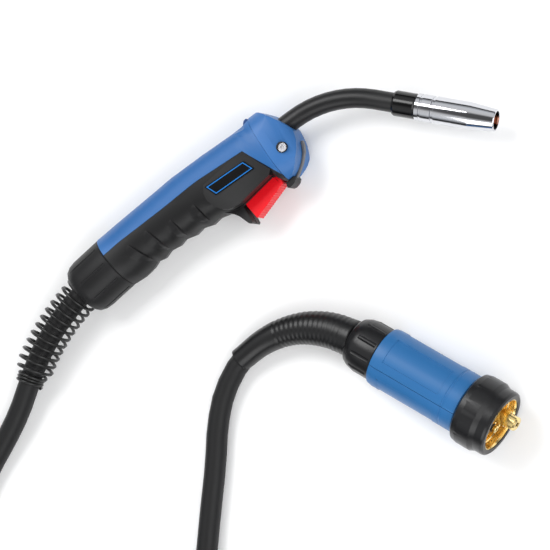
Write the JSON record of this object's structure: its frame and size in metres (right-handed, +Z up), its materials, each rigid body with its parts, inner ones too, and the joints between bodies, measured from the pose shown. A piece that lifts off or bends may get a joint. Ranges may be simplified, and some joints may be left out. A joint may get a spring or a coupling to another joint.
{
  "type": "mig welding torch",
  "caption": "Swan-neck MIG welding torch: two-colour handle with red trigger, chrome gas nozzle, spring strain relief, coiled lead and round central plug.",
  "frame": {"origin": "centre of the bounding box of the torch without its lead and plug, at the floor it lies on", "axes": "+X along the handle towards the neck, +Y towards the blue top of the handle, +Z up, away from the floor"},
  "size_m": [0.5484, 0.3364, 0.0491],
  "materials": {
    "handle_blue": "satin moulded",
    "grip_black": "satin moulded",
    "label_black": "printed foil, no lettering",
    "trigger_red": "satin moulded",
    "sleeve_black": "semi gloss sleeve",
    "collar_gloss": "polished",
    "nozzle_chrome": "bright plated",
    "tip_copper": "turned copper alloy",
    "brass": "turned",
    "plug_brass": "turned and polished",
    "steel": "zinc plated",
    "spring_black": "black oxide",
    "switch_plastic": "moulded",
    "lead_rubber": "matt jacket",
    "tie_fabric": "woven tape",
    "lead_wires": "insulation",
    "plug_blue": "satin moulded",
    "plug_black": "semi gloss moulded",
    "boot_rubber": "semi gloss"
  },
  "bodies": {
    "torch": {"nozzle_spring": "steel", "contact_tip": "tip_copper", "tip_holder": "brass", "neck_collar": "collar_gloss", "neck_sleeve": "sleeve_black", "neck_tube": "brass", "wire_liner": "steel", "housing_right": "handle_blue", "housing_left": "handle_blue", "grip_right": "grip_black", "grip_left": "grip_black", "front_screw": "steel", "screw_nut": "steel", "label_right": "label_black", "label_left": "label_black", "trigger_pin": "steel", "trigger_spring": "steel", "switch_body": "switch_plastic", "switch_leads": "lead_wires", "neck_clamp": "grip_black", "neck_nut": "brass", "cable_adapter": "brass", "cable_end": "lead_rubber", "cable_nut": "grip_black", "cable_clamp": "grip_black", "support_spring": "spring_black", "torch_lead": "lead_rubber", "lead_coil": "lead_rubber", "plug_lead": "lead_rubber", "coil_ties": "tie_fabric", "plug_shell_a": "plug_blue", "plug_shell_b": "plug_blue", "shell_screws": "steel", "pin_block": "plug_brass", "nut_circlip": "steel", "centre_tube": "plug_brass", "liner_nut": "plug_brass", "gas_nipple": "plug_brass", "nipple_o_ring": "boot_rubber", "pin_bushes": "switch_plastic", "pin_springs": "steel", "plug_rear_nut": "plug_black", "plug_boot": "boot_rubber", "plug_cable_end": "lead_rubber", "plug_ferrule": "brass"},
    "nozzle": {"gas_nozzle": "nozzle_chrome"},
    "trigger": {"trigger": "trigger_red"},
    "plunger": {"switch_plunger": "trigger_red"},
    "hand_nut": {"hand_nut": "plug_black", "thread_ring": "plug_brass"},
    "pin_a": {"control_pin_a": "plug_brass"},
    "pin_b": {"control_pin_b": "plug_brass"}
  },
  "joints": [
    {"name": "trigger_pull", "type": "hinge", "parent": "torch", "child": "trigger", "pos_m": [0.042, 0.0119, 0.01875], "axis": [0, 0, -1], "range_deg": [0, 6.5], "stiffness_Nm_per_rad": 1.2, "springref_deg": -5.73},
    {"name": "switch_press", "type": "slide", "parent": "torch", "child": "plunger", "axis": [0, 1, 0], "range_m": [0, 0.0023]},
    {"name": "nozzle_pull_off", "type": "slide", "parent": "torch", "child": "nozzle", "axis": [0.7071, -0.7071, 0], "range_m": [0, 0.055]},
    {"name": "hand_nut_spin", "type": "hinge", "parent": "torch", "child": "hand_nut", "pos_m": [0.06921, -0.19207, 0.02433], "axis": [0.4529, -0.8889, 0.068], "continuous": true},
    {"name": "pin_a_press", "type": "slide", "parent": "torch", "child": "pin_a", "axis": [-0.4529, 0.8889, -0.068], "range_m": [0, 0.0015], "stiffness_N_per_m": 400, "springref_m": -0.001},
    {"name": "pin_b_press", "type": "slide", "parent": "torch", "child": "pin_b", "axis": [-0.4529, 0.8889, -0.068], "range_m": [0, 0.0015], "stiffness_N_per_m": 400, "springref_m": -0.001}
  ],
  "couplings": [
    {"joint": "switch_press", "follows": "trigger_pull", "m_per_rad": 0.0195}
  ]
}
